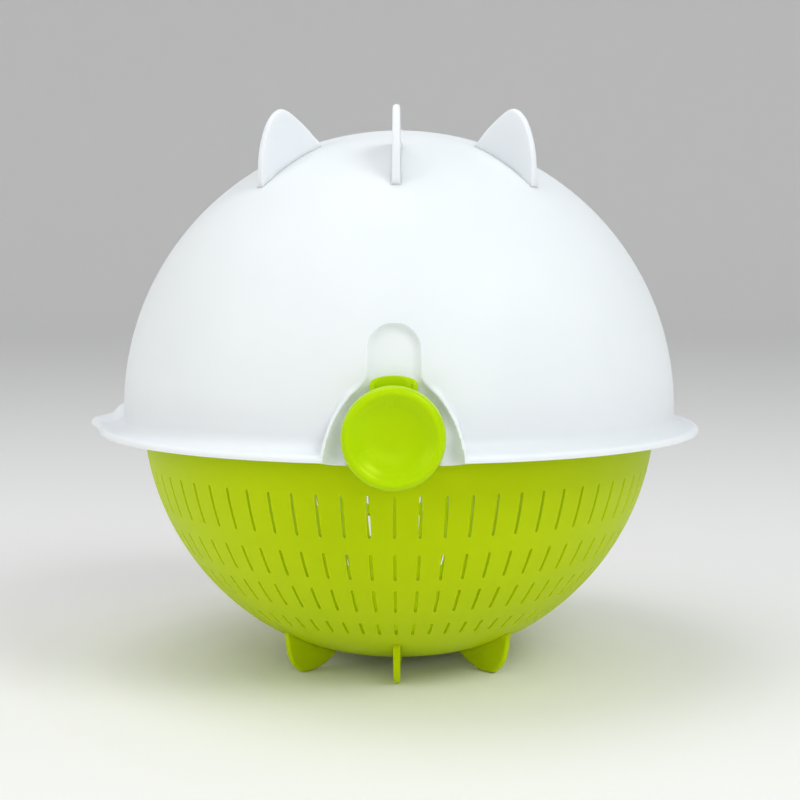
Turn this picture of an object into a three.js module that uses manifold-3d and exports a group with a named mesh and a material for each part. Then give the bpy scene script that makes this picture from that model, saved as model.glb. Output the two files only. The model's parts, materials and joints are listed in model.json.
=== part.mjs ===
// Ball salad spinner: a finned white bowl closes over a slotted green colander on six feet.
// Bowl and colander share one horizontal pivot axis along Y, held by two pull-out pivot sets.
// Millimetres, +Z up, floor at Z = 0. Parts are drawn about the pivot centre, then placed.
import * as THREE from 'three';
import { mergeVertices } from 'three/addons/utils/BufferGeometryUtils.js';
import Module from 'manifold-3d';

const wasm = await Module();
wasm.setup();

// Placement
const PIVOT_Z = 111; // pivot axis above the floor
const CENTRE_X = 3.2; // puts the origin under the middle of the footprint, spout included

// White bowl
const BOWL_R = 120;
const BOWL_WALL = 2.4;
const RIM_Z = -9.5; // rim plane, below the pivot axis
const FLANGE_R = 130.4;
const FLANGE_T = 2.8;
const FILLET_TOP_Z = -1.5; // where the flange's fillet meets the ball
const BOWL_SEGS = 60;
const BOWL_STEPS = 12;
const FIN_T = 3.2;
const FIN_TOP_Z = 125.7;
const FAN_ANGLE = 48; // fins and feet stand in threes, this far apart, at the front and the back

// Recess in the bowl around each knob: an arch open at the rim, and a groove above it
const FLOOR_R = 117.8;
const RECESS_WALL = 2.4;
const ARCH_R = 42.4;
const ARCH_X = 17;
const ARCH_Z = -13.75;
const GROOVE_HALF = 9.4;
const GROOVE_END_Z = 31.2; // centre of the groove's round end
const RIB_W = 2.4;
const RIB_TOP_Z = 18.5;
// How far the raised edge stands out at each height: the flange's own reach at the rim
const RIB_REACH = [[FLANGE_R, -6.4], [128.6, -3.6], [126.4, -0.6], [124.2, 3], [122.4, 7.4],
  [121.4, 12.6], [121, RIB_TOP_Z]];
const BOWL_HOLE_R = 4.4;

// Pouring spout, on -X: sections outward along the spout
const SPOUT = [
  { x: 118.6, w: 12.5, top: 2.2, low: 0 },
  { x: 121.6, w: 11.6, top: 1.5, low: 0 },
  { x: 124, w: 10.4, top: -0.7, low: 0 },
  { x: 127, w: 8.9, top: -2.6, low: 0 },
  { x: 130.5, w: 7.2, top: -4.7, low: 0.4 },
  { x: 133.6, w: 5.6, top: -5.6, low: 1.0 },
  { x: 135.6, w: 4.1, top: -6.7, low: 1.0 },
  { x: 136.8, w: 2.4, top: -7.9, low: 0.4 },
];
const SPOUT_WALL = 2.2;

// Green colander
const COL_R = 112;
const COL_WALL = 2.2;
const COL_TOP_Z = 9.5;
const LIP_R = 114.2;
const LIP_T = 3;
const FLAT_DROP = 3.5; // how much the bottom is flattened
const FLAT_ANGLE = 36;
const SLOT_COLUMNS = 68;
const SLOT_W = 1.2;
const SLOT_ROWS = [[77.5, 68.3], [64.5, 57.9], [55, 48.3], [44.1, 39.4]];
const FOOT_T = 2.75;
const BOSS_R = 9;

// Pivot sets, distances outward along the pivot axis
const BOSS_IN = 105;
const BOSS_OUT = 112.6;
const SEAT_Y = 111.8;
const SEAT_R = 6.3;
const RING = { r: 6, bore: 4.15, y0: 112, y1: 114.7 };
const BORE_R = 4.15;
const AXLE_R = 3.9;
const AXLE_IN = 104.5;
const COLLAR = { r: 6.2, y0: 118.4, y1: 119.9 };
const PLATE = { y0: 120.5, y1: 123.5, r: 15, hub: 8, hubY: 118.1, tabHalf: 8.9, tabTop: 22.2 };
const KEY = { y0: 117.1, z0: 16, z1: 21.1, half: 8.9 };
const CAP = { r: 19.2, back: 124.5, front: 133, dish: 128.5, hubY: 123.8 };
const SNAP = { neck: 3, head: 4.6, y0: 125.7, y1: 127.3 };

const rad = (deg) => (deg * Math.PI) / 180;

function bare(geometry) {
  geometry.deleteAttribute('normal');
  geometry.deleteAttribute('uv');
  return mergeVertices(geometry, 1e-4);
}

function volume(geometry) {
  const p = geometry.attributes.position;
  const index = geometry.index.array;
  const corner = [new THREE.Vector3(), new THREE.Vector3(), new THREE.Vector3()];
  let sum = 0;
  for (let i = 0; i < index.length; i += 3) {
    corner.forEach((c, j) => c.fromBufferAttribute(p, index[i + j]));
    sum += corner[0].dot(corner[1].cross(corner[2])) / 6;
  }
  return sum;
}

function facingOut(geometry) {
  const g = bare(geometry);
  if (volume(g) < 0) g.index.array.reverse();
  return g;
}

function toSolid(geometry) {
  const vertProperties = new Float32Array(geometry.attributes.position.array);
  const triVerts = new Uint32Array(geometry.index.array);
  return new wasm.Manifold(new wasm.Mesh({ numProp: 3, vertProperties, triVerts }));
}

function fromSolid(solid) {
  const mesh = solid.getMesh();
  const geometry = new THREE.BufferGeometry();
  geometry.setAttribute('position', new THREE.BufferAttribute(mesh.vertProperties, 3));
  geometry.setIndex(new THREE.BufferAttribute(mesh.triVerts, 1));
  return geometry;
}

function combine(operation, first, ...others) {
  let solid = toSolid(first);
  for (const other of others) solid = solid[operation](toSolid(other));
  return fromSolid(solid);
}

const add = (...parts) => combine('add', ...parts);
const cut = (...parts) => combine('subtract', ...parts);
const common = (...parts) => combine('intersect', ...parts);

// Turned about Z from [radius, height] pairs.
function turned(profile, segments) {
  const points = profile.map(([r, z]) => new THREE.Vector2(r, z));
  return facingOut(new THREE.LatheGeometry(points, segments).rotateX(Math.PI / 2));
}

// Turned about the front pivot axis, from [radius, distance outward] pairs.
function turnedOnPivot(profile, segments) {
  return turned(profile, segments).rotateX(Math.PI / 2);
}

// A closed outline in X and Z, pushed from y0 to y1 outward on the front side.
function pushed(shape, y0, y1, bevel = 0) {
  const geometry = new THREE.ExtrudeGeometry(shape, {
    depth: y1 - y0 - 2 * bevel,
    curveSegments: 6,
    bevelEnabled: bevel > 0,
    bevelThickness: bevel,
    bevelSize: bevel,
    bevelOffset: -bevel,
    bevelSegments: 1,
  });
  return facingOut(geometry.rotateX(Math.PI / 2).translate(0, -y0 - bevel, 0));
}

function outline(points) {
  return new THREE.Shape(points.map(([x, y]) => new THREE.Vector2(x, y)));
}

function arc(radius, from, to, steps) {
  const points = [];
  for (let i = 0; i <= steps; i += 1) {
    const a = rad(from + ((to - from) * i) / steps);
    points.push([radius * Math.cos(a), radius * Math.sin(a)]);
  }
  return points;
}

const latitude = (z, radius) => (Math.asin(z / radius) * 180) / Math.PI;

// A flat radial plate, drawn in radius and height, in a fan of three at the front and the back.
function sixPlates(points, thickness) {
  const plate = pushed(outline(points), -thickness / 2, thickness / 2, 0.4);
  const fan = [-FAN_ANGLE, 0, FAN_ANGLE];
  return [90, 270].flatMap((middle) => fan.map((a) => plate.clone().rotateZ(rad(middle + a))));
}

const frontAndBack = (part) => [part, part.clone().rotateZ(Math.PI)];

function bowlShell() {
  const inner = BOWL_R - BOWL_WALL;
  const lipTop = RIM_Z + FLANGE_T;
  const inside = arc(inner, 90, latitude(RIM_Z, inner), BOWL_STEPS);
  const flange = [
    [FLANGE_R - 1, RIM_Z],
    [FLANGE_R, RIM_Z + 0.9],
    [FLANGE_R, lipTop - 0.8],
    [FLANGE_R - 1, lipTop],
    [FLANGE_R - 4.4, lipTop + 0.2],
    [FLANGE_R - 7.6, lipTop + 1.3],
    [BOWL_R + 0.9, lipTop + 3],
  ];
  const outside = arc(BOWL_R, latitude(FILLET_TOP_Z, BOWL_R), 90, BOWL_STEPS);
  inside[0][0] = 0;
  outside[BOWL_STEPS][0] = 0;
  return turned([...inside, ...flange, ...outside], BOWL_SEGS);
}

function finOutline() {
  const root = arc(BOWL_R - 1.2, 51.3, 67.6, 4);
  const edge = [[45, 111.9], [50.8, 117.7], [56.1, 121.9], [59.6, 124.5], [62, FIN_TOP_Z],
    [65.2, FIN_TOP_Z], [67.8, 124.2], [70.6, 120.8], [72.4, 116.7], [74.1, 110.6], [74.9, 104.5],
    [75.1, 99], [74.6, 94.8]];
  return [...root, ...edge];
}

// Half outline of the recess from the rim up, grown outward by the given offset.
function recessOutline(offset, bottomZ) {
  const groove = GROOVE_HALF + offset;
  const archR = ARCH_R + offset;
  const archX = (z) => Math.sqrt(archR ** 2 - (z - ARCH_Z) ** 2) - ARCH_X;
  const neckZ = ARCH_Z + Math.sqrt(archR ** 2 - (groove + ARCH_X) ** 2);
  const side = [];
  for (let i = 0; i <= 8; i += 1) {
    const z = bottomZ + ((neckZ - 2.2 - bottomZ) * i) / 8;
    side.push([archX(z), z]);
  }
  side.push([groove + 0.6, neckZ + 0.2], [groove, neckZ + 2.4]);
  for (let i = 0; i <= 5; i += 1) {
    const a = rad(18 * i);
    side.push([groove * Math.cos(a), GROOVE_END_Z + groove * Math.sin(a)]);
  }
  const mirrored = side.slice(0, -1).reverse().map(([x, z]) => [-x, z]);
  return outline([...side, ...mirrored]);
}

function band(innerR, outerR, z0, z1) {
  const inside = arc(innerR, latitude(z0, innerR), latitude(z1, innerR), 5);
  const outside = arc(outerR, latitude(z1, outerR), latitude(z0, outerR), 5);
  return turned([...inside, ...outside, inside[0]], BOWL_SEGS);
}

function recessBulge() {
  const wall = band(FLOOR_R - RECESS_WALL, BOWL_R - 1.1, RIM_Z, 48);
  return common(wall, pushed(recessOutline(RECESS_WALL, RIM_Z - 6), 80, 140));
}

function recessRib() {
  const base = arc(BOWL_R - 1.1, latitude(RIB_TOP_Z, BOWL_R), latitude(RIM_Z - 0.4, BOWL_R), 4);
  const reach = RIB_REACH.map(([along, z]) => [Math.sqrt(along ** 2 - z ** 2), z]);
  const foot = [[FLANGE_R - 1, RIM_Z - 0.4], [FLANGE_R, RIM_Z + 0.5]];
  const skin = turned([...base, ...foot, ...reach, base[0]], BOWL_SEGS);
  const strip = cut(
    pushed(recessOutline(RIB_W, RIM_Z - 4), 80, 140),
    pushed(recessOutline(-0.3, RIM_Z - 5), 79, 141),
  );
  return common(skin, strip);
}

function recessCut() {
  const core = turned([[0, -60], ...arc(FLOOR_R, -30, 30, 10), [0, 60]], BOWL_SEGS);
  return cut(pushed(recessOutline(0, RIM_Z - 10), 90, 145), core);
}

// Domed sections joined along -X. The underside is flat.
function spoutLoft(sections) {
  const arcSteps = 8;
  const n = arcSteps + 1;
  const vertices = [];
  const triangles = [];
  for (const s of sections) {
    for (let i = 0; i < n; i += 1) {
      const a = (Math.PI * i) / arcSteps;
      const lift = Math.sin(a) ** 0.8;
      vertices.push(-s.x, s.w * Math.cos(a), s.bottom + (s.top - s.bottom) * lift);
    }
  }
  for (let j = 0; j < sections.length - 1; j += 1) {
    for (let i = 0; i < n; i += 1) {
      const a = j * n + i;
      const b = j * n + ((i + 1) % n);
      triangles.push(a, b, b + n, a, b + n, a + n);
    }
  }
  const last = (sections.length - 1) * n;
  for (let i = 1; i < n - 1; i += 1) {
    triangles.push(0, i + 1, i, last, last + i, last + i + 1);
  }
  const geometry = new THREE.BufferGeometry();
  geometry.setAttribute('position', new THREE.Float32BufferAttribute(vertices, 3));
  geometry.setIndex(triangles);
  if (volume(geometry) < 0) geometry.index.array.reverse();
  return geometry;
}

function spoutBody() {
  return spoutLoft(SPOUT.map((s) => ({ ...s, bottom: RIM_Z - s.low })));
}

function spoutChannel() {
  const sections = SPOUT.slice(0, -1).map((s) => ({
    x: s.x, w: s.w - SPOUT_WALL, top: s.top - SPOUT_WALL, bottom: RIM_Z - 3,
  }));
  sections[0] = { ...sections[0], x: 110 };
  sections[sections.length - 1].x -= 0.8;
  sections[sections.length - 1].w = 1.6;
  return spoutLoft(sections);
}

function buildBowl() {
  const hole = turnedOnPivot([[0, 110], [BOWL_HOLE_R, 110], [BOWL_HOLE_R, 122], [0, 122]], 24);
  const body = add(
    bowlShell(),
    ...sixPlates(finOutline(), FIN_T),
    ...frontAndBack(recessBulge()),
    ...frontAndBack(recessRib()),
    spoutBody(),
  );
  return cut(body, ...frontAndBack(recessCut()), ...frontAndBack(hole), spoutChannel());
}

// Distance of the colander's outer face from the pivot centre, by angle up from the bottom.
function colanderReach(angle) {
  if (angle >= FLAT_ANGLE) return COL_R;
  return COL_R - (FLAT_DROP * (1 + Math.cos((Math.PI * angle) / FLAT_ANGLE))) / 2;
}

// Rings from the rim down. grid 2 has two points per slot column, 1 has one, 0.5 one per pair.
function colanderRings() {
  const lipLow = COL_TOP_Z - LIP_T;
  const rings = [
    { grid: 1, out: [LIP_R, COL_TOP_Z], in: [COL_R - COL_WALL, COL_TOP_Z] },
    { grid: 1, out: [LIP_R, lipLow], in: [COL_R - COL_WALL, lipLow] },
    { grid: 1, out: [COL_R, lipLow - 0.5], in: [COL_R - COL_WALL, lipLow - 0.5] },
  ];
  const level = (grid, angle, slotted = false) => {
    const at = (reach) => [reach * Math.sin(rad(angle)), -reach * Math.cos(rad(angle))];
    const reach = colanderReach(angle);
    rings.push({ grid, slotted, out: at(reach), in: at(reach - COL_WALL) });
  };
  level(1, 89);
  level(1, 82.5);
  for (const [top, bottom] of SLOT_ROWS) {
    level(2, top, true);
    level(2, bottom);
  }
  level(1, 34);
  level(0.5, 26);
  level(0.5, 17.5);
  level(0.5, 9);
  return rings;
}

function ringPoints(grid, [r, z]) {
  const points = [];
  const count = grid === 0.5 ? SLOT_COLUMNS / 2 : SLOT_COLUMNS;
  const offsets = grid === 2 ? [-SLOT_W / 2, SLOT_W / 2] : [0];
  for (let k = 0; k < count; k += 1) {
    const a = -Math.PI / 2 + (2 * Math.PI * k) / count;
    for (const t of offsets) {
      const along = Math.sqrt(r * r - t * t);
      points.push([along * Math.cos(a) - t * Math.sin(a), along * Math.sin(a) + t * Math.cos(a), z]);
    }
  }
  return points;
}

// Pairs of point runs, upper then lower, that tile the strip between two rings.
function stripCells(upper, lower) {
  const cells = [];
  const wrap = (i, ring) => ring.first + (i % ring.count);
  for (let k = 0; k < SLOT_COLUMNS; k += 1) {
    if (upper.grid === 2 && lower.grid === 2) {
      cells.push({ slot: true, up: [2 * k, 2 * k + 1], low: [2 * k, 2 * k + 1] });
      cells.push({ up: [2 * k + 1, 2 * k + 2], low: [2 * k + 1, 2 * k + 2] });
    } else if (upper.grid === 2) {
      cells.push({ up: [2 * k, 2 * k + 1], low: [k] });
      cells.push({ up: [2 * k + 1, 2 * k + 2], low: [k, k + 1] });
    } else if (lower.grid === 2) {
      cells.push({ up: [k], low: [2 * k, 2 * k + 1] });
      cells.push({ up: [k, k + 1], low: [2 * k + 1, 2 * k + 2] });
    } else if (upper.grid === lower.grid && k < upper.count) {
      cells.push({ up: [k, k + 1], low: [k, k + 1] });
    } else if (upper.grid > lower.grid) {
      cells.push({ up: [k, k + 1], low: k % 2 ? [(k - 1) / 2, (k + 1) / 2] : [k / 2] });
    }
  }
  return cells.map((c) => ({
    slot: c.slot, up: c.up.map((i) => wrap(i, upper)), low: c.low.map((i) => wrap(i, lower)),
  }));
}

function cellTriangles({ up, low }) {
  if (low.length === 1) return [[up[0], low[0], up[1]]];
  if (up.length === 1) return [[up[0], low[0], low[1]]];
  return [[up[0], low[0], low[1]], [up[0], low[1], up[1]]];
}

const quad = (a, b, c, d) => [[a, b, c], [a, c, d]];

function colanderShell() {
  const rings = colanderRings();
  const vertices = [];
  const triangles = [];
  const place = (grid, at) => {
    const points = ringPoints(grid, at);
    const first = vertices.length;
    vertices.push(...points);
    return { grid, first, count: points.length };
  };
  const outer = rings.map((ring) => place(ring.grid, ring.out));
  const inner = rings.map((ring) => place(ring.grid, ring.in));
  for (let j = 0; j < rings.length - 1; j += 1) {
    const outside = stripCells(outer[j], outer[j + 1]);
    const inside = stripCells(inner[j], inner[j + 1]);
    outside.forEach((o, c) => {
      const i = inside[c];
      if (rings[j].slotted && o.slot) {
        triangles.push(
          ...quad(o.up[0], o.low[0], i.low[0], i.up[0]),
          ...quad(o.low[1], o.up[1], i.up[1], i.low[1]),
          ...quad(o.up[1], o.up[0], i.up[0], i.up[1]),
          ...quad(o.low[0], o.low[1], i.low[1], i.low[0]),
        );
      } else {
        triangles.push(...cellTriangles(o));
        triangles.push(...cellTriangles(i).map(([a, b, d]) => [a, d, b]));
      }
    });
  }
  for (let k = 0; k < SLOT_COLUMNS; k += 1) {
    const next = (k + 1) % SLOT_COLUMNS;
    triangles.push(...quad(
      outer[0].first + k, outer[0].first + next, inner[0].first + next, inner[0].first + k,
    ));
  }
  const bottom = vertices.length;
  vertices.push([0, 0, -colanderReach(0)], [0, 0, COL_WALL - colanderReach(0)]);
  const last = outer[outer.length - 1];
  const lastIn = inner[inner.length - 1];
  for (let k = 0; k < last.count; k += 1) {
    const next = (k + 1) % last.count;
    triangles.push([last.first + k, bottom, last.first + next]);
    triangles.push([lastIn.first + k, lastIn.first + next, bottom + 1]);
  }
  const geometry = new THREE.BufferGeometry();
  geometry.setAttribute('position', new THREE.Float32BufferAttribute(vertices.flat(), 3));
  geometry.setIndex(triangles.flat());
  return geometry;
}

function footOutline() {
  const root = [33.9, 29, 24, 19.6].map((angle) => {
    const reach = colanderReach(angle) - 1.1;
    return [reach * Math.sin(rad(angle)), -reach * Math.cos(rad(angle))];
  });
  const edge = [[36.2, -104.6], [40.9, -108.2], [46, -110.4], [50, -PIVOT_Z], [54.6, -PIVOT_Z],
    [57.6, -109.5], [60.6, -105.6], [62.3, -100.4], [63, -95.6], [62.9, -93]];
  return [...root, ...edge];
}

function buildColander() {
  const boss = turnedOnPivot([[0, BOSS_IN], [BOSS_R, BOSS_IN], [BOSS_R, BOSS_OUT], [0, BOSS_OUT]], 24);
  const bore = turnedOnPivot([
    [0, BOSS_IN - 2], [BORE_R, BOSS_IN - 2], [BORE_R, SEAT_Y], [SEAT_R, SEAT_Y],
    [SEAT_R, BOSS_OUT + 2], [0, BOSS_OUT + 2],
  ], 24);
  const body = add(colanderShell(), ...sixPlates(footOutline(), FOOT_T), ...frontAndBack(boss));
  return cut(body, ...frontAndBack(bore));
}

function buildRing() {
  const { r, bore, y0, y1 } = RING;
  return turnedOnPivot([
    [bore, y0], [r, y0], [r, y1 - 0.4], [r - 0.4, y1], [bore, y1], [bore, y0],
  ], 24);
}

function buildAxle() {
  return turnedOnPivot([
    [0, AXLE_IN], [AXLE_R - 0.8, AXLE_IN], [AXLE_R, AXLE_IN + 1.2],
    [AXLE_R, COLLAR.y0], [COLLAR.r, COLLAR.y0], [COLLAR.r, COLLAR.y1], [AXLE_R, COLLAR.y1],
    [AXLE_R, PLATE.y1 + 0.1], [SNAP.neck, PLATE.y1 + 0.1], [SNAP.neck, SNAP.y0],
    [SNAP.head, SNAP.y0], [SNAP.neck + 0.4, SNAP.y1], [0, SNAP.y1],
  ], 20);
}

// Round plate with a square-shouldered tab on top; side ribs stand proud of a sunk panel.
function plateOutline(r, half, top, crown) {
  const from = (Math.asin(half / r) * 180) / Math.PI;
  const disc = arc(r, 90 - from, 90 - from - (360 - 2 * from), 20);
  const corner = 2;
  const left = [[-half, top - crown - corner], [-half + 0.6, top - crown - 0.6]];
  const brow = [-0.78, -0.4, 0, 0.4, 0.78].map((t) => [half * t, top - crown * t * t]);
  const right = left.map(([x, z]) => [-x, z]).reverse();
  return outline([...disc, ...left, ...brow, ...right]);
}

function buildLockPlate() {
  const plate = pushed(plateOutline(PLATE.r, PLATE.tabHalf, PLATE.tabTop, 1.7), PLATE.y0, PLATE.y1, 0.4);
  const hub = turnedOnPivot([
    [0, PLATE.hubY], [PLATE.hub, PLATE.hubY], [PLATE.hub, PLATE.y0 + 1], [0, PLATE.y0 + 1],
  ], 24);
  const key = pushed(outline([
    [-KEY.half, KEY.z0], [KEY.half, KEY.z0], [KEY.half, KEY.z1 - 2.4], [KEY.half - 1.6, KEY.z1 - 0.8],
    [0, KEY.z1], [-KEY.half + 1.6, KEY.z1 - 0.8], [-KEY.half, KEY.z1 - 2.4],
  ]), KEY.y0, PLATE.y0 + 1);
  const bore = turnedOnPivot([
    [0, PLATE.hubY - 1], [COLLAR.r + 0.3, PLATE.hubY - 1], [COLLAR.r + 0.3, COLLAR.y1 + 0.3],
    [BORE_R, COLLAR.y1 + 0.3], [BORE_R, PLATE.y1 + 1], [0, PLATE.y1 + 1],
  ], 24);
  const rib = 2;
  const panel = pushed(outline([
    [-PLATE.tabHalf + rib, 12], [PLATE.tabHalf - rib, 12],
    [PLATE.tabHalf - rib, PLATE.tabTop - 3.2], [0, PLATE.tabTop - 2],
    [-PLATE.tabHalf + rib, PLATE.tabTop - 3.2],
  ]), PLATE.y1 - 0.6, PLATE.y1 + 1);
  return cut(add(plate, hub, key), bore, panel);
}

function buildCap() {
  const { r, back, front, dish, hubY } = CAP;
  const hole = SNAP.neck + 0.35;
  const room = SNAP.head + 0.4;
  return turnedOnPivot([
    [hole, hubY], [6.4, hubY], [6.4, back + 1.6], [15.6, back + 1.6], [16, back],
    [18.6, back], [r - 0.3, back + 1.6], [r, back + 4], [r - 0.5, front - 2],
    [r - 1.8, front - 0.5], [r - 3.3, front], [r - 4.9, front - 0.5], [r - 7.2, front - 2],
    [r - 11, dish + 1.1], [r - 15, dish + 0.3], [0, dish], [0, SNAP.y1 + 0.3],
    [room, SNAP.y1 + 0.3], [room, SNAP.y0 - 0.3], [hole, SNAP.y0 - 0.3], [hole, hubY],
  ], 32);
}

const group = new THREE.Group();
group.name = 'salad_spinner';

function addNode(name, geometry, color, roughness = 0.4) {
  const flat = geometry.clone().translate(CENTRE_X, 0, PIVOT_Z).toNonIndexed();
  flat.computeVertexNormals();
  const material = new THREE.MeshStandardMaterial({ color, roughness, metalness: 0 });
  material.name = name;
  const mesh = new THREE.Mesh(flat, material);
  mesh.name = name;
  group.add(mesh);
}

function addPair(name, geometry, color, roughness) {
  const [front, back] = frontAndBack(geometry);
  addNode(`${name}_front`, front, color, roughness);
  addNode(`${name}_back`, back, color, roughness);
}

addNode('bowl', buildBowl(), '#eef0f2', 0.35);
addNode('colander', buildColander(), '#a9c400', 0.45);
addPair('friction_ring', buildRing(), '#8c9196', 0.8);
addPair('axle', buildAxle(), '#e8e8e4', 0.5);
addPair('lock_plate', buildLockPlate(), '#b4dc00', 0.4);
addPair('knob_cap', buildCap(), '#b4dc00', 0.35);

export default group;
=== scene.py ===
"""Looks for the ball salad spinner: a white bowl closed over a slotted green colander.

Shapes are worked out in millimetres about the pivot centre (x to the right, y to the back,
z up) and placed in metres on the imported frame. Each visual piece stands for one CAD node.
"""

import json
import math

import bmesh
import bpy
import numpy as np
from mathutils import Matrix, Vector


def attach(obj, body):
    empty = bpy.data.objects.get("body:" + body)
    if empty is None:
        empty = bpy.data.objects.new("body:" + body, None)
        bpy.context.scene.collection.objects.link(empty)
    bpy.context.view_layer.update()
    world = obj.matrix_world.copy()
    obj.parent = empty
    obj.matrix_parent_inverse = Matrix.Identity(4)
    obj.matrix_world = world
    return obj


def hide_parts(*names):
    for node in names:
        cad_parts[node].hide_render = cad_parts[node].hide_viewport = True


MM = 0.001  # one millimetre in metres
FRONT, BACK = -1, 1

# Points closer than this are joined, and edges shorter than this are taken out
JOIN_GAP = 0.004
SLIVER = 0.002

# Bowl
BOWL_R = 120.0
BOWL_IN = 117.6
RIM_Z = -9.5
FLANGE_R = 130.4
FLANGE_TOP_Z = -6.7
FILLET_TOP_Z = -1.5
LIP_ROUND = 1.8
LIP_CORNER = 0.5
LIP_IN_R = 118.4

# Lower inner edge of the wall: radius, radius inside the recess, height above the rim
WALL_EDGE = [(117.9, 116.0, 0.0), (117.45, 115.3, 0.25)]

# Spacing of the bowl's columns in degrees, and half the width of the finer stretches
RECESS_STEP = 0.25
SPOUT_STEP = 0.6
PLAIN_STEP = 2.4
RECESS_ZONE = 33.0
SPOUT_ZONE = 27.0

# Fins and feet stand in fans of three, at the front and the back. A plate has rows of points at
# the PLATE_DEPTHS in from its free edge and is rounded over PLATE_ROUND. It swells by up to
# ROOT_SWELL of its half thickness within ROOT_REACH of the wall, and by less than that within
# ROOT_CLEAR of its free edge.
PLATE_TURNS = [math.radians(middle + turn) for middle in (-90, 90) for turn in (-48, 0, 48)]
PLATE_DEPTHS = [0.0, 0.12, 0.3, 0.55, 0.85, 1.2]
PLATE_ROUND = 1.2
ROOT_SWELL = 0.45
ROOT_REACH = 1.6
ROOT_CLEAR = 0.6
FIN_HALF = 1.5
FIN_ROOT_R = 118.8
FIN_ROOT_ANGLES = [68.2, 64.0, 60.0, 56.0, 50.8]
FIN_EDGE = [(44.2, 111.6), (50.6, 117.9), (55.9, 121.8), (59.6, 124.2), (61.9, 125.3), (64.0, 125.7),
            (66.2, 125.1), (68.4, 123.4), (70.6, 120.6), (72.7, 116.0), (74.5, 109.5), (75.2, 103.0),
            (75.0, 95.0)]

# Recess around each knob: an arch and a groove above it. A pair of numbers is where a change
# begins and ends: by height (_Z), by depth below the pivot (_DEPTH), by distance from the
# middle (_X) or by distance from the outline (_BAND).
FLOOR_R = 117.8
BULGE_R = 115.4
RECESS_WALL = 2.4
ARCH_R = 43.0
ARCH_X = 17.0
ARCH_Z = -13.75
GROOVE_HALF = 9.7
GROOVE_END_Z = 31.2
NECK_SOFTNESS = 2.4
WALL_START = 0.15
ARCH_WALL = 4.6
GROOVE_COVE = 3.2
COVE_Z = (14.0, 24.0)
FLOOR_DROP = 1.6
FLOOR_FLARE = 5.0
FLARE_X = (15.4, 19.0)
FLARE_DEPTH = (-12.0, 4.0)
RIB_BAND = (1.3, 2.6)
RIB_FADE_Z = (14.0, 20.0)
BOWL_HOLE_R = 4.4
RIB_HEIGHTS = [-9.5, -6.4, -3.6, -0.6, 3.0, 7.4, 12.6, 18.5]
RIB_REACH = [130.4, 130.4, 128.6, 126.4, 124.2, 122.4, 121.4, 121.0]

# Pouring spout: how far it reaches past the flange, how high its ridge stands over the flange,
# and how far round the rim each spreads. LIFT_ values are shares of the lift: what the wall
# gets, what the crest adds between the wall and CREST_END of the way out, and what is lost
# again towards the tip.
SPOUT_REACH = 6.4
SPOUT_SPREAD = 25.0
SPOUT_SHARPNESS = 2.2
SPOUT_TIP_ROUND = 1.2
SPOUT_LIFT = 6.0
SPOUT_HALF = 13.0
SPOUT_FADE_Z = (-8.5, 14.0)
LIFT_AT_WALL = 0.65
LIFT_CREST = 0.35
LIFT_LOST_AT_TIP = 0.52
CREST_END = 0.4

# Colander
COL_R = 112.0
COL_WALL = 2.2
COL_TOP_Z = 8.6
FLAT_DROP = 3.5
FLAT_ANGLE = 36.0
POLE_ANGLE = 6.0
ROW_STEP = 1.6
SLOT_COLUMNS = 68
SLOT_HALF = 0.66

# Slots: top and bottom of each row, as angles up from the bottom, and how a slot widens from
# its end, as (angle in from the end, half width)
SLOT_ROWS = [(77.5, 68.3), (64.5, 57.9), (55.0, 48.3), (44.1, 39.4)]
SLOT_END = [(0.0, 0.25), (0.13, 0.5), (0.32, 0.62), (0.6, SLOT_HALF)]
SLOT_BEVEL = 0.16
WEB_CELLS = 4

FOOT_HALF = 1.4
FOOT_SINK = 1.1
FOOT_ROOT_ANGLES = [19.6, 23.5, 27.5, 31.0, 34.8]
FOOT_EDGE = [(36.0, -103.8), (40.9, -107.8), (46.2, -110.2), (49.6, -110.85), (52.6, -110.95),
             (55.6, -110.6), (58.4, -108.6), (60.8, -105.4), (62.4, -100.4), (63.0, -94.6)]
BORE_R = 4.15

# Holes are drilled only through what lies further out along the pivot axis than this
DRILL_FROM = 100.0

# Pivot sets. The cap's outline is drawn at a radius of CAP_DRAWN_R and then scaled.
CAP_R = 19.2
CAP_DRAWN_R = 20.0
PLATE_R = 15.0
TAB_HALF = 8.9
TAB_TOP = 22.2

# Camera: seen from the front, a little above the pivot
LENS = 71.42
CAMERA_DISTANCE = 0.7
CAMERA_HEIGHT = 0.0654
CAMERA_TURN = math.radians(0.92)
CAMERA_HEADING = math.radians(0.885)
CAMERA_PITCH = math.radians(5.15)

# Stage, in millimetres: radius of the flat floor, radius of the bend, height of the backdrop
FLOOR_FLAT = 3000.0
FLOOR_BEND = 1500.0
BACKDROP_TOP = 3500.0
FLOOR_COLOUR = (0.88, 0.87, 0.85, 1.0)

# Light: name, place in metres, size in metres, watts, colour
SOFTBOXES = [
    ("key", (0.95, -0.85, 1.25), (0.7, 0.7), 11.5, (0.96, 0.99, 1.0)),
    ("fill", (-1.3, -0.6, 0.6), (1.0, 0.8), 5.0, (1.0, 0.97, 0.93)),
    ("top", (-0.45, -0.1, 1.5), (1.0, 1.0), 6.0, (0.96, 0.98, 1.0)),
    ("low", (0.3, -1.7, 0.5), (1.4, 0.5), 5.0, (1.0, 1.0, 1.0)),
]
SKY_COLOUR = (0.93, 0.95, 1.0, 1.0)
SKY_STRENGTH = 0.57
INNER_GLOW = 0.19
GLOW_COLOUR = (1.0, 1.0, 0.95)
GLOW_RADIUS = 0.06

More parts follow.
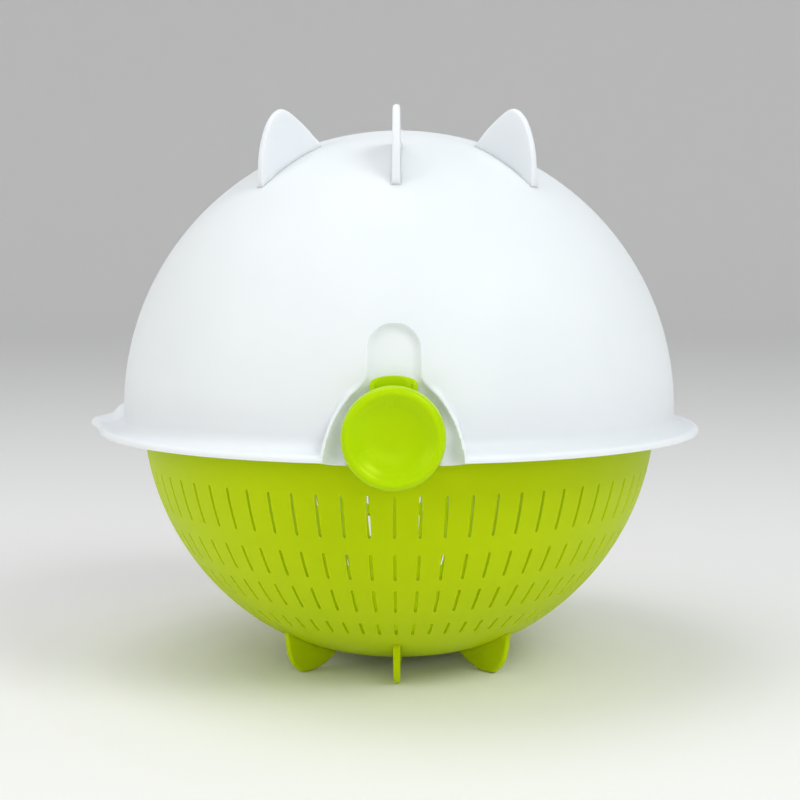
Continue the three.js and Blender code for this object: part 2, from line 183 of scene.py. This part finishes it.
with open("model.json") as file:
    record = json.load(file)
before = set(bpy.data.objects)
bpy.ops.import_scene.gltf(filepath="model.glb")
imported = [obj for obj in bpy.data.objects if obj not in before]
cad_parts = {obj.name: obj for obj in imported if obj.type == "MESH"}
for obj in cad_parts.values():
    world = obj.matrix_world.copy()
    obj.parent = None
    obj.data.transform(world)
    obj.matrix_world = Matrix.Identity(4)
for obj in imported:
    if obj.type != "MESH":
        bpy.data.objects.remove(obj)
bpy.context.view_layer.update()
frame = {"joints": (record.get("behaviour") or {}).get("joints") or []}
tilt = next(joint for joint in frame["joints"] if joint["name"] == "bowl_tilt")
PIVOT = Vector(tilt["pos_m"])


# ---------------------------------------------------------------- small helpers

def smooth_step(low, high, value):
    """0 up to low, 1 from high on, and a smooth change between them."""
    t = np.clip((value - low) / (high - low), 0.0, 1.0)
    return t * t * (3.0 - 2.0 * t)


def spaced(start, end, step):
    """Evenly spaced values from start to end, no further apart than step."""
    count = max(1, math.ceil(abs(end - start) / step))
    return np.linspace(start, end, count + 1)


def rounded_path(points, radius=0.5, steps=4):
    """The open path through the points, with each inner corner rounded."""
    path = [Vector(points[0])]
    for before, corner, after in zip(points, points[1:], points[2:]):
        corner = Vector(corner)
        back, ahead = Vector(before) - corner, Vector(after) - corner
        reach = min(radius, back.length * 0.48, ahead.length * 0.48)
        start = corner + back.normalized() * reach
        end = corner + ahead.normalized() * reach
        for i in range(steps + 1):
            t = i / steps
            path.append(start.lerp(corner, t).lerp(corner.lerp(end, t), t))
    path.append(Vector(points[-1]))
    return [(p.x, p.y) for p in path]


def smooth_curve(points, steps=4):
    """Catmull-Rom curve through the points."""
    padded = [points[0]] + list(points) + [points[-1]]
    curve = []
    for a, b, c, d in zip(padded, padded[1:], padded[2:], padded[3:]):
        for i in range(steps):
            t = i / steps
            curve.append(tuple(0.5 * (2 * q + (r - p) * t + (2 * p - 5 * q + 4 * r - s) * t * t
                                      + (3 * q - p - 3 * r + s) * t ** 3)
                               for p, q, r, s in zip(a, b, c, d)))
    return curve + [tuple(points[-1])]


def finish_mesh(bm, name, sharp_angle=38.0):
    """Metres, in place, with sharp edges only where the surface really turns."""
    bmesh.ops.remove_doubles(bm, verts=bm.verts, dist=JOIN_GAP)
    bmesh.ops.dissolve_degenerate(bm, edges=bm.edges, dist=SLIVER)
    bmesh.ops.recalc_face_normals(bm, faces=bm.faces)
    limit = math.radians(sharp_angle)
    for edge in bm.edges:
        edge.smooth = edge.calc_face_angle(0.0) < limit
    for face in bm.faces:
        face.smooth = True
    to_frame = Matrix.Translation(PIVOT) @ Matrix.Scale(MM, 4)
    bmesh.ops.transform(bm, matrix=to_frame, verts=bm.verts)
    mesh = bpy.data.meshes.new(name)
    bm.to_mesh(mesh)
    bm.free()
    piece = bpy.data.objects.new(name, mesh)
    bpy.context.scene.collection.objects.link(piece)
    return piece


def add_turned(bm, profile, segments=96, side=None, closed=False):
    """A turned surface from (radius, height) pairs, about Z or about the pivot axis."""
    rings = []
    for radius, height in profile:
        ring = []
        for k in range(segments if radius > 1e-6 else 1):
            a = 2 * math.pi * k / segments
            x, y = radius * math.cos(a), radius * math.sin(a)
            ring.append(bm.verts.new((x, y, height) if side is None else (x, side * height, y)))
        rings.append(ring)
    pairs = list(zip(rings, rings[1:])) + ([(rings[-1], rings[0])] if closed else [])
    for a, b in pairs:
        for k in range(segments):
            n = (k + 1) % segments
            corners = [a[k % len(a)], a[n % len(a)], b[n % len(b)], b[k % len(b)]]
            unique = list(dict.fromkeys(corners))
            if len(unique) > 2:
                bm.faces.new(unique)


def add_grid(bm, points, wrap=False):
    """Quads over a grid of points, rows first. Returns the vertex rows."""
    rows = [[bm.verts.new(p) for p in row] for row in points]
    for upper, lower in zip(rows, rows[1:]):
        for k in range(len(upper) if wrap else len(upper) - 1):
            n = (k + 1) % len(upper)
            bm.faces.new((upper[k], lower[k], lower[n], upper[n]))
    return rows


def off_axis(point):
    """Distance from the pivot axis."""
    return math.hypot(point.x, point.z)


def drill(bm, radius):
    """Opens a round hole on the pivot axis through both faces of a wall, front and back."""
    middles = [(face, face.calc_center_median()) for face in bm.faces]
    near = [face for face, middle in middles
            if off_axis(middle) < radius and abs(middle.y) > DRILL_FROM]
    bmesh.ops.delete(bm, geom=near, context="FACES")
    for side in (FRONT, BACK):
        edges = [e for e in bm.edges if e.is_boundary and e.verts[0].co.y * side > DRILL_FROM
                 and off_axis(e.verts[0].co) < radius * 2]
        for vert in {v for e in edges for v in e.verts}:
            scale = radius / max(off_axis(vert.co), 1e-6)
            vert.co.x *= scale
            vert.co.z *= scale
        bmesh.ops.bridge_loops(bm, edges=edges)


# ---------------------------------------------------------------- bowl

def recess_distance(x, z):
    """Signed distance outside the arch and groove outline, seen along the pivot axis."""
    x = np.abs(x)
    arch = np.hypot(x + ARCH_X, z - ARCH_Z) - ARCH_R
    groove = np.where(z < GROOVE_END_Z, x, np.hypot(x, z - GROOVE_END_Z)) - GROOVE_HALF
    overlap = np.maximum(NECK_SOFTNESS - np.abs(arch - groove), 0.0) / NECK_SOFTNESS
    return np.minimum(arch, groove) - overlap ** 2 * NECK_SOFTNESS / 4.0


def bowl_columns():
    """Angles round the bowl, close together at the recesses and the spout."""
    recess = math.degrees(math.asin(RECESS_ZONE / BOWL_R))
    spout = math.degrees(math.asin(SPOUT_ZONE / BOWL_R))
    stops = [(-90 - recess, -90 + recess, RECESS_STEP), (-90 + recess, 90 - recess, PLAIN_STEP),
             (90 - recess, 90 + recess, RECESS_STEP), (90 + recess, 180 - spout, PLAIN_STEP),
             (180 - spout, 180 + spout, SPOUT_STEP), (180 + spout, 270 - recess, PLAIN_STEP)]
    angles = [spaced(start, end, step)[:-1] for start, end, step in stops]
    return np.radians(np.concatenate(angles))


def latitude(height, radius):
    """Angle up from the pivot's level, in degrees."""
    return math.degrees(math.asin(height / radius))


def recess_floor_r(height):
    """Radius of the recess floor at a height."""
    return math.sqrt(FLOOR_R ** 2 - height ** 2)


def sphere_rows(part, latitudes, radius, sunk_radius):
    """Profile rows over a sphere, each with its place on the recess's sphere."""
    turns = [(math.cos(a), math.sin(a)) for a in np.radians(latitudes)]
    return [(part, radius * c, radius * s, sunk_radius * c, sunk_radius * s) for c, s in turns]


def flange_rows():
    """The flange's top, which curves out of the wall."""
    start = Vector((BOWL_R - 0.01, FILLET_TOP_Z))
    bend = Vector((BOWL_R + 0.5, FLANGE_TOP_Z))
    end = Vector((FLANGE_R - 2.6, FLANGE_TOP_Z + 0.05))
    rows = []
    for t in np.linspace(0, 1, 12)[1:]:
        p = start.lerp(bend, t).lerp(bend.lerp(end, t), t)
        rows.append(("flange", p.x, p.y, recess_floor_r(p.y), p.y))
    return rows


def lip_rows():
    """The rounded outer edge, the flat underside and the start of the inner wall."""
    lip = [(FLANGE_R - LIP_ROUND * (1 - math.cos(a)), FLANGE_TOP_Z - LIP_ROUND * (1 - math.sin(a)))
           for a in np.linspace(math.pi / 2, 0, 7)]
    lip += [(FLANGE_R - LIP_CORNER * (1 - math.cos(a)), RIM_Z + LIP_CORNER * (1 - math.sin(a)))
            for a in np.linspace(0, math.pi / 2, 5)]
    stretch = 1.0 + FLOOR_DROP / (FLANGE_TOP_Z - RIM_Z)
    rows = []
    for r, z in lip:
        sunk_z = FLANGE_TOP_Z + (z - FLANGE_TOP_Z) * stretch
        rows.append(("lip", r, z, recess_floor_r(sunk_z), sunk_z))
    for r in np.linspace(FLANGE_R - 2.0, LIP_IN_R, 6):
        rows.append(("bottom", r, RIM_Z, 116.8 + 0.05 * (r - LIP_IN_R), RIM_Z - FLOOR_DROP))
    for r, sunk_r, up in WALL_EDGE:
        rows.append(("edge", r, RIM_Z + up, sunk_r, RIM_Z + up - FLOOR_DROP))
    return rows


def bowl_profile():
    """Rows of (part, radius, height, sunk radius, sunk height) from the outer pole to the inner.

    The sunk pair is where the row lies on the recess floor. Rows are closer together where the
    recess cuts them.
    """
    recess_top, rim = 21.5, latitude(FILLET_TOP_Z, BOWL_R)
    outer = np.concatenate([spaced(90, recess_top, 2.3)[:-1], spaced(recess_top, rim, RECESS_STEP)])
    low = latitude(RIM_Z + 0.8, BOWL_IN)
    inner = np.concatenate([spaced(low, 6, 0.6)[:-1], spaced(6, 22, 1.0)[:-1], spaced(22, 90, 3.4)])
    return (sphere_rows("outer", outer, BOWL_R, FLOOR_R) + flange_rows() + lip_rows()
            + sphere_rows("inner", inner, BOWL_IN, BULGE_R))


def pour_spout(part, angle, radius, height):
    """Draws the rim out to a beak on -X and lifts it into a ridge with a channel below."""
    along = BOWL_R * np.abs(np.remainder(angle, 2 * math.pi) - math.pi)
    rounded = np.hypot(along, SPOUT_TIP_ROUND) - SPOUT_TIP_ROUND
    beak = np.maximum(1.0 - rounded / SPOUT_SPREAD, 0.0) ** SPOUT_SHARPNESS
    ridge = 1.0 - smooth_step(0.0, SPOUT_HALF, along)
    past_wall = np.maximum(radius - BOWL_R, 0.0)
    radius = radius + past_wall / (FLANGE_R - BOWL_R) * SPOUT_REACH * beak
    if part in ("outer", "inner"):
        rise = SPOUT_LIFT * LIFT_AT_WALL * (1.0 - smooth_step(*SPOUT_FADE_Z, height)) * ridge
        size = np.hypot(radius, height)
        height = height + rise
        return np.sqrt(np.maximum(size ** 2 - height ** 2, 0.0)), height
    share = np.clip(past_wall / (FLANGE_R - BOWL_R), 0.0, 1.0)
    crest = LIFT_CREST * np.sin(math.pi * np.clip(share / CREST_END, 0, 1))
    rise = SPOUT_LIFT * (LIFT_AT_WALL + crest - LIFT_LOST_AT_TIP * share ** 1.5)
    return radius, height + np.maximum(rise, 0.0) * ridge


def shape_bowl_point(part, angle, r, z, sunk_r, sunk_z):
    """Moves one row of the plain bowl into the recess, its raised edge and the spout."""
    inside = part in ("edge", "inner")
    rib = 0.0
    if not inside and part != "bottom":
        rib = max(np.interp(z, RIB_HEIGHTS, RIB_REACH) / math.hypot(r, z) - 1.0, 0.0)
        rib *= 1.0 - float(smooth_step(*RIB_FADE_Z, z))
    x = r * (1.0 + rib) * np.cos(angle)
    distance = recess_distance(x, np.full_like(x, z)) - (RECESS_WALL if inside else 0.0)
    wall = ARCH_WALL + (GROOVE_COVE - ARCH_WALL) * float(smooth_step(*COVE_Z, z))
    deep = np.clip((WALL_START - distance) / wall, 0.0, 1.0)
    sunk = np.sqrt(1.0 - (1.0 - deep) ** 2)
    grown = 1.0 + rib * (1.0 - smooth_step(*RIB_BAND, distance))
    flare = 0.0
    if not inside:
        flare = FLOOR_FLARE * smooth_step(*FLARE_X, np.abs(x)) * smooth_step(*FLARE_DEPTH, -z)
    radius = r * grown + (sunk_r + flare - r * grown) * sunk
    height = z * grown + (sunk_z - z * grown) * sunk
    radius, height = pour_spout(part, angle, radius, height)
    return np.stack([radius * np.cos(angle), radius * np.sin(angle), height], axis=-1)


def add_bowl_shell(bm):
    angles = bowl_columns()
    rows = [shape_bowl_point(part, angles, *place) for part, *place in bowl_profile()]
    for pole in (rows[0], rows[-1]):
        pole[:, :2] = 0.0
    add_grid(bm, [[tuple(p) for p in row] for row in rows], wrap=True)
    bmesh.ops.remove_doubles(bm, verts=bm.verts, dist=JOIN_GAP)
    drill(bm, BOWL_HOLE_R)


def add_plates(bm, edge, root, half, skin):
    """Upright radial plates with rounded free edges, which swell where they leave the wall."""
    free = smooth_curve(edge)
    count = len(free)
    along = np.linspace(0, len(root) - 1, count)
    root_r = np.interp(along, range(len(root)), [p[0] for p in root])
    root_z = np.interp(along, range(len(root)), [p[1] for p in root])
    for turn in PLATE_TURNS:

        def place(u, v, z):
            c, s = math.cos(turn), math.sin(turn)
            return (u * c - v * s, u * s + v * c, z)

        columns = []
        for (r, z), r0, z0 in zip(free, root_r, root_z):
            length = math.hypot(r - r0, z - z0)
            steps = [min(depth, length * 0.5) for depth in PLATE_DEPTHS]
            steps += list(np.linspace(steps[-1], length, 9)[1:])
            side = []
            for deep in steps:
                t = deep / length
                u, w = r + (r0 - r) * t, z + (z0 - z) * t
                rounding = min(deep / min(PLATE_ROUND, length * 0.5), 1.0)
                thick = half * math.sqrt(1.0 - (1.0 - rounding) ** 2)
                near_wall = max(0.0, 1.0 - abs(math.hypot(u, w) - skin) / ROOT_REACH)
                thick += ROOT_SWELL * half * near_wall ** 2 * min(1.0, deep / ROOT_CLEAR)
                side.append((u, thick, w))
            columns.append([(u, -v, w) for u, v, w in side[::-1]] + side[1:])
        rows = add_grid(bm, [[place(*p) for p in column] for column in columns])
        for end, order in ((rows[0], 1), (rows[-1], -1)):
            mirror = end[::-1]
            for k in range(len(end) // 2):
                quad = list(dict.fromkeys([end[k], end[k + 1], mirror[k + 1], mirror[k]]))
                if len(quad) > 2:
                    bm.faces.new(quad[::order])
        for a, b in zip(rows, rows[1:]):
            bm.faces.new((a[0], a[-1], b[-1], b[0]))


def make_bowl():
    bm = bmesh.new()
    add_bowl_shell(bm)
    root = [(FIN_ROOT_R * math.cos(a), FIN_ROOT_R * math.sin(a)) for a in np.radians(FIN_ROOT_ANGLES)]
    add_plates(bm, FIN_EDGE, root, FIN_HALF, BOWL_R)
    return finish_mesh(bm, "bowl_visual")


# ---------------------------------------------------------------- colander

def colander_reach(angle):
    """Outer radius at an angle up from the bottom, where the ball is gently flattened."""
    if angle >= FLAT_ANGLE:
        return COL_R
    return COL_R - FLAT_DROP * (1 + math.cos(math.pi * angle / FLAT_ANGLE)) / 2


def colander_rows():
    """(angle up from the bottom, slot half width, slotted below) from the rim down."""
    rows = []
    above = 90 + math.degrees(math.asin(COL_TOP_Z / COL_R))
    full = SLOT_END[-1][0]
    for high, low in SLOT_ROWS:
        rows += [(a, SLOT_HALF, False) for a in spaced(above, high, ROW_STEP)[(1 if rows else 0):-1]]
        rows += [(high - inset, half, True) for inset, half in SLOT_END]
        rows += [(a, SLOT_HALF, True) for a in spaced(high - full, low + full, ROW_STEP)[1:]]
        rows += [(low + inset, half, inset > 0) for inset, half in SLOT_END[-2::-1]]
        above = low
    rows += [(a, SLOT_HALF, False) for a in spaced(above, POLE_ANGLE, 1.8)[1:]]
    rows += [(a, SLOT_HALF * a / POLE_ANGLE, False) for a in (4.0, 2.0)]
    return rows


def colander_rings(bm, rows, drop):
    """Rings of points over one skin, with two points at each slot, and the point at its pole."""
    rings = []
    for angle, half, _ in rows:
        reach = colander_reach(angle) - drop
        r, z = reach * math.sin(math.radians(angle)), -reach * math.cos(math.radians(angle))
        edge = math.asin(min(half / r, 0.9))
        step = 2 * math.pi / SLOT_COLUMNS - 2 * edge
        ring = []
        for k in range(SLOT_COLUMNS):
            centre = -math.pi / 2 + 2 * math.pi * k / SLOT_COLUMNS
            turns = [centre - edge] + [centre + edge + step * i / WEB_CELLS for i in range(WEB_CELLS)]
            ring += [bm.verts.new((r * math.cos(a), r * math.sin(a), z)) for a in turns]
        rings.append(ring)
    return rings, bm.verts.new((0, 0, drop - colander_reach(0)))


def add_colander_shell(bm):
    """Both skins, joined at the rim and round every slot."""
    rows = colander_rows()
    out, out_pole = colander_rings(bm, rows, 0.0)
    inner, inner_pole = colander_rings(bm, rows, COL_WALL)
    width = WEB_CELLS + 1
    total = len(out[0])
    for i in range(len(rows) - 1):
        slotted = rows[i][2]
        for c in range(total):
            n = (c + 1) % total
            if slotted and c % width == 0:
                bm.faces.new((out[i][c], out[i + 1][c], inner[i + 1][c], inner[i][c]))
                bm.faces.new((out[i + 1][n], out[i][n], inner[i][n], inner[i + 1][n]))
                if not rows[i - 1][2]:
                    bm.faces.new((out[i][n], out[i][c], inner[i][c], inner[i][n]))
                if not rows[i + 1][2]:
                    bm.faces.new((out[i + 1][c], out[i + 1][n], inner[i + 1][n], inner[i + 1][c]))
            else:
                bm.faces.new((out[i][c], out[i + 1][c], out[i + 1][n], out[i][n]))
                bm.faces.new((inner[i][c], inner[i][n], inner[i + 1][n], inner[i + 1][c]))
    for c in range(total):
        n = (c + 1) % total
        bm.faces.new((out[0][n], inner[0][n], inner[0][c], out[0][c]))
        bm.faces.new((out[-1][c], out_pole, out[-1][n]))
        bm.faces.new((inner[-1][c], inner[-1][n], inner_pole))
    drill(bm, BORE_R)


def make_colander():
    bm = bmesh.new()
    add_colander_shell(bm)
    lip = rounded_path([(109.8, 8.0), (109.8, 9.5), (114.2, 9.5), (114.2, 6.5), (111.8, 6.3),
                        (111.0, 7.5), (110.2, 7.8)], 0.7)
    add_turned(bm, lip, 240, closed=True)
    for side in (FRONT, BACK):
        boss = rounded_path([(BORE_R, 110.0), (BORE_R, 105.0), (9.0, 105.0), (9.0, 112.6),
                             (6.3, 112.6), (6.3, 111.8), (BORE_R, 111.8), (BORE_R, 110.5)], 0.5)
        add_turned(bm, boss, 64, side, closed=True)
    root = []
    for angle in FOOT_ROOT_ANGLES:
        reach = colander_reach(angle) - FOOT_SINK
        root.append((reach * math.sin(math.radians(angle)), -reach * math.cos(math.radians(angle))))
    skin = colander_reach(FOOT_ROOT_ANGLES[len(FOOT_ROOT_ANGLES) // 2])
    add_plates(bm, FOOT_EDGE, root, FOOT_HALF, skin)
    piece = finish_mesh(bm, "colander_visual")
    bevel = piece.modifiers.new("slot_edges", "BEVEL")
    bevel.width = SLOT_BEVEL * MM
    bevel.segments = 1
    bevel.limit_method = "ANGLE"
    bevel.angle_limit = math.radians(50)
    return piece


# ---------------------------------------------------------------- pivot sets

def make_cap(side, name):
    """A dished round knob with a socket for the axle's snap head behind it."""
    back, front, dish = 124.5, 133.0, 128.5
    control = [(0.0, dish), (5.0, dish + 0.12), (8.0, dish + 0.5), (10.6, dish + 1.15),
               (12.8, dish + 2.0), (14.6, dish + 3.1), (15.8, front - 0.75), (16.7, front - 0.18),
               (17.6, front), (18.5, front - 0.2), (19.3, front - 0.8), (19.8, front - 1.8),
               (20.0, front - 3.2), (20.0, back + 3.6), (19.8, back + 1.9), (19.2, back + 0.7),
               (18.2, back)]
    control = [(r * CAP_R / CAP_DRAWN_R, y) for r, y in control]
    under = rounded_path([control[-1], (15.6, back), (15.0, back + 1.6), (6.4, back + 1.6),
                          (6.4, 123.8), (3.35, 123.8), (3.35, 125.4), (5.0, 125.4), (5.0, 127.6),
                          (0.0, 127.6)], 0.35)
    bm = bmesh.new()
    add_turned(bm, smooth_curve(control) + under[1:], 128, side)
    return finish_mesh(bm, name, sharp_angle=50.0)


def add_slab(bm, outline, y0, y1, side, bevel):
    """A plate with the given outline in x and z, from y0 to y1 outward, with rounded edges."""
    part = bmesh.new()
    near = [part.verts.new((x, side * y0, z)) for x, z in outline]
    far = [part.verts.new((x, side * y1, z)) for x, z in outline]
    part.faces.new(near[::-1])
    part.faces.new(far)
    for k in range(len(outline)):
        n = (k + 1) % len(outline)
        part.faces.new((near[k], near[n], far[n], far[k]))
    rims = [e for e in part.edges if abs(e.verts[0].co.y - e.verts[1].co.y) < 1e-6]
    bmesh.ops.bevel(part, geom=rims, offset=bevel, segments=3, profile=0.5, affect="EDGES")
    mesh = bpy.data.meshes.new("slab")
    part.to_mesh(mesh)
    part.free()
    bm.from_mesh(mesh)
    bpy.data.meshes.remove(mesh)


def plate_outline(radius, half, top):
    """A disc with an upright tab, which has bevelled shoulders and a gently bowed top."""
    start = math.asin(half / radius)
    disc = [(radius * math.sin(a), radius * math.cos(a))
            for a in np.linspace(start, 2 * math.pi - start, 61)]
    left = [(-half, top - 3.4), (-half + 0.25, top - 2.5), (-half + 1.0, top - 1.75)]
    brow = [(half * t, top - 1.7 * t * t + 0.05) for t in np.linspace(-0.8, 0.8, 13)]
    right = [(-x, z) for x, z in left[::-1]]
    return disc + left + brow + right


def make_lock_plate(side, name):
    """The round plate with its ribbed tab, a key that sits in the groove, and a hub."""
    bm = bmesh.new()
    add_slab(bm, plate_outline(PLATE_R, TAB_HALF, TAB_TOP), 120.5, 122.8, side, 0.45)
    for x in (1.05 - TAB_HALF, TAB_HALF - 1.05):
        left_top, right_top = (19.1, 19.6) if x < 0 else (19.6, 19.1)
        rib = [(x - 1.0, 9.0), (x + 1.0, 9.0), (x + 1.0, right_top), (x, 19.9), (x - 1.0, left_top)]
        add_slab(bm, rib, 121.5, 123.5, side, 0.4)
    key = [(-8.8, 16.0), (8.8, 16.0), (8.8, 18.5), (7.3, 20.3), (0.0, 21.1), (-7.3, 20.3),
           (-8.8, 18.5)]
    add_slab(bm, key, 117.1, 121.5, side, 0.4)
    hub = rounded_path([(6.5, 118.1), (8.0, 118.1), (8.0, 121.5), (4.15, 121.5), (4.15, 120.2),
                        (6.5, 120.2), (6.5, 118.4)], 0.35)
    add_turned(bm, hub, 64, side, closed=True)
    return finish_mesh(bm, name, sharp_angle=45.0)


def make_axle(side, name):
    """The pin, with a collar behind the lock plate and a snap head in the cap."""
    profile = [(0.0, 104.5), (3.1, 104.5), (3.9, 105.7), (3.9, 118.4), (6.2, 118.4), (6.2, 119.9),
               (3.9, 119.9), (3.9, 123.6), (3.0, 123.6), (3.0, 125.7), (4.6, 125.7), (3.4, 127.3),
               (0.0, 127.3)]
    bm = bmesh.new()
    add_turned(bm, rounded_path(profile, 0.3), 64, side)
    return finish_mesh(bm, name, sharp_angle=45.0)


def make_ring(side, name):
    """The ring between the colander's boss and the bowl."""
    profile = rounded_path([(5.0, 112.0), (4.15, 112.0), (4.15, 114.7), (6.0, 114.7), (6.0, 112.0),
                            (5.2, 112.0)], 0.5)
    bm = bmesh.new()
    add_turned(bm, profile, 64, side, closed=True)
    return finish_mesh(bm, name, sharp_angle=45.0)


# ---------------------------------------------------------------- materials

PLAIN = (1.0, 1.0, 1.0)
YELLOW_SHINE = (0.95, 1.0, 0.1)
GREEN_DEPTH = (0.9, 1.0, 0.05)


def add_noise(tree, scale, detail):
    """A noise texture on object coordinates."""
    place = tree.nodes.new("ShaderNodeTexCoord")
    noise = tree.nodes.new("ShaderNodeTexNoise")
    noise.inputs["Scale"].default_value = scale
    noise.inputs["Detail"].default_value = detail
    tree.links.new(place.outputs["Object"], noise.inputs["Vector"])
    return noise


def plastic(name, colour, shade, roughness, subsurface, reach, grain=0.012, shine=0.5, tint=PLAIN):
    """Moulded plastic: faint cloudiness in colour, uneven gloss and a very fine grain."""
    material = bpy.data.materials.new(name)
    material.use_nodes = True
    tree = material.node_tree
    nodes, links = tree.nodes, tree.links
    surface = nodes["Principled BSDF"]
    cloud = add_noise(tree, 14.0, 3.0)
    ramp = nodes.new("ShaderNodeValToRGB")
    ramp.color_ramp.elements[0].position = 0.3
    ramp.color_ramp.elements[0].color = (*shade, 1.0)
    ramp.color_ramp.elements[1].position = 0.62
    ramp.color_ramp.elements[1].color = (*colour, 1.0)
    gloss = add_noise(tree, 60.0, 4.0)
    gloss_range = nodes.new("ShaderNodeMapRange")
    gloss_range.inputs["To Min"].default_value = roughness - 0.04
    gloss_range.inputs["To Max"].default_value = roughness + 0.05
    fine = add_noise(tree, 2200.0, 2.0)
    bump = nodes.new("ShaderNodeBump")
    bump.inputs["Strength"].default_value = grain
    bump.inputs["Distance"].default_value = 0.0004
    links.new(cloud.outputs["Fac"], ramp.inputs["Fac"])
    links.new(ramp.outputs["Color"], surface.inputs["Base Color"])
    links.new(gloss.outputs["Fac"], gloss_range.inputs["Value"])
    links.new(gloss_range.outputs["Result"], surface.inputs["Roughness"])
    links.new(fine.outputs["Fac"], bump.inputs["Height"])
    links.new(bump.outputs["Normal"], surface.inputs["Normal"])
    surface.inputs["Subsurface Weight"].default_value = subsurface
    surface.inputs["Subsurface Radius"].default_value = reach
    surface.inputs["Subsurface Scale"].default_value = 0.004
    surface.inputs["IOR"].default_value = 1.49
    surface.inputs["Specular IOR Level"].default_value = shine
    surface.inputs["Specular Tint"].default_value = (*tint, 1.0)
    return material


WHITE = plastic("white_plastic", (0.75, 0.78, 0.80), (0.725, 0.755, 0.775), 0.48, 0.5, PLAIN,
                shine=0.32)
GREEN = plastic("green_plastic", (0.465, 0.59, 0.0012), (0.435, 0.56, 0.0012), 0.5, 0.6, GREEN_DEPTH,
                shine=0.25, tint=YELLOW_SHINE)
KNOB = plastic("knob_plastic", (0.41, 0.63, 0.0012), (0.38, 0.60, 0.0012), 0.26, 0.2, GREEN_DEPTH,
               shine=0.35, tint=YELLOW_SHINE)
PIN = plastic("pin_plastic", (0.74, 0.74, 0.70), (0.70, 0.70, 0.66), 0.4, 0.2, PLAIN)
RUBBER = plastic("ring_rubber", (0.20, 0.22, 0.24), (0.17, 0.19, 0.21), 0.7, 0.0, PLAIN, grain=0.05)


def dress(piece, node, body, material):
    """Gives a visual piece its material and the body it moves with, and hides the CAD node it stands
    for.
    """
    piece.data.materials.append(material)
    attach(piece, body)
    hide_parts(node)


# ---------------------------------------------------------------- stage

def make_floor():
    """A pale floor that curves up into a backdrop all round, so that no horizon shows."""
    bm = bmesh.new()
    profile = [(0.0, 0.0), (400.0, 0.0), (1200.0, 0.0)]
    profile += [(FLOOR_FLAT + FLOOR_BEND * math.sin(a), FLOOR_BEND * (1 - math.cos(a)))
                for a in np.linspace(0, math.pi / 2, 13)]
    profile += [(FLOOR_FLAT + FLOOR_BEND, BACKDROP_TOP)]
    add_turned(bm, [(r, z - PIVOT.z / MM) for r, z in profile], 96)
    floor = finish_mesh(bm, "floor", sharp_angle=60.0)
    material = bpy.data.materials.new("floor")
    material.use_nodes = True
    surface = material.node_tree.nodes["Principled BSDF"]
    surface.inputs["Base Color"].default_value = FLOOR_COLOUR
    surface.inputs["Roughness"].default_value = 0.6
    floor.data.materials.append(material)


def add_softbox(name, place, size, power, colour):
    """A rectangular light that faces the pivot."""
    data = bpy.data.lights.new(name, "AREA")
    data.shape = "RECTANGLE"
    data.size, data.size_y = size
    data.energy = power
    data.color = colour
    lamp = bpy.data.objects.new(name, data)
    lamp.location = Vector(place)
    aim = PIVOT - lamp.location
    lamp.rotation_euler = aim.to_track_quat("-Z", "Y").to_euler()
    bpy.context.scene.collection.objects.link(lamp)


def add_inner_glow():
    """Daylight that would come through the translucent walls, so the slots aren't black."""
    data = bpy.data.lights.new("glow", "POINT")
    data.energy = INNER_GLOW
    data.color = GLOW_COLOUR
    data.shadow_soft_size = GLOW_RADIUS
    lamp = bpy.data.objects.new("glow", data)
    lamp.location = PIVOT
    bpy.context.scene.collection.objects.link(lamp)


def light_scene():
    world = bpy.data.worlds.new("studio")
    world.use_nodes = True
    background = world.node_tree.nodes["Background"]
    background.inputs["Color"].default_value = SKY_COLOUR
    background.inputs["Strength"].default_value = SKY_STRENGTH
    bpy.context.scene.world = world
    for softbox in SOFTBOXES:
        add_softbox(*softbox)
    add_inner_glow()
    scene = bpy.context.scene
    scene.view_settings.view_transform = "Standard"
    scene.view_settings.look = "None"


def place_camera():
    data = bpy.data.cameras.new("camera")
    data.lens = LENS
    data.sensor_width = 36.0
    data.clip_end = 60.0
    camera = bpy.data.objects.new("camera", data)
    camera.location = PIVOT + Vector((CAMERA_DISTANCE * math.sin(CAMERA_TURN),
                                      -CAMERA_DISTANCE * math.cos(CAMERA_TURN), CAMERA_HEIGHT))
    camera.rotation_euler = (math.pi / 2 - CAMERA_PITCH, 0.0, CAMERA_HEADING)
    bpy.context.scene.collection.objects.link(camera)
    bpy.context.scene.camera = camera


dress(make_bowl(), "bowl", "bowl", WHITE)
dress(make_colander(), "colander", "colander", GREEN)
for side, where in ((FRONT, "front"), (BACK, "back")):
    dress(make_cap(side, f"cap_{where}_visual"), f"knob_cap_{where}", f"cap_{where}",
          KNOB)
    dress(make_lock_plate(side, f"plate_{where}_visual"), f"lock_plate_{where}", f"lock_{where}",
          KNOB)
    dress(make_axle(side, f"axle_{where}_visual"), f"axle_{where}", f"lock_{where}", PIN)
    dress(make_ring(side, f"ring_{where}_visual"), f"friction_ring_{where}", "colander", RUBBER)
make_floor()
light_scene()
place_camera()
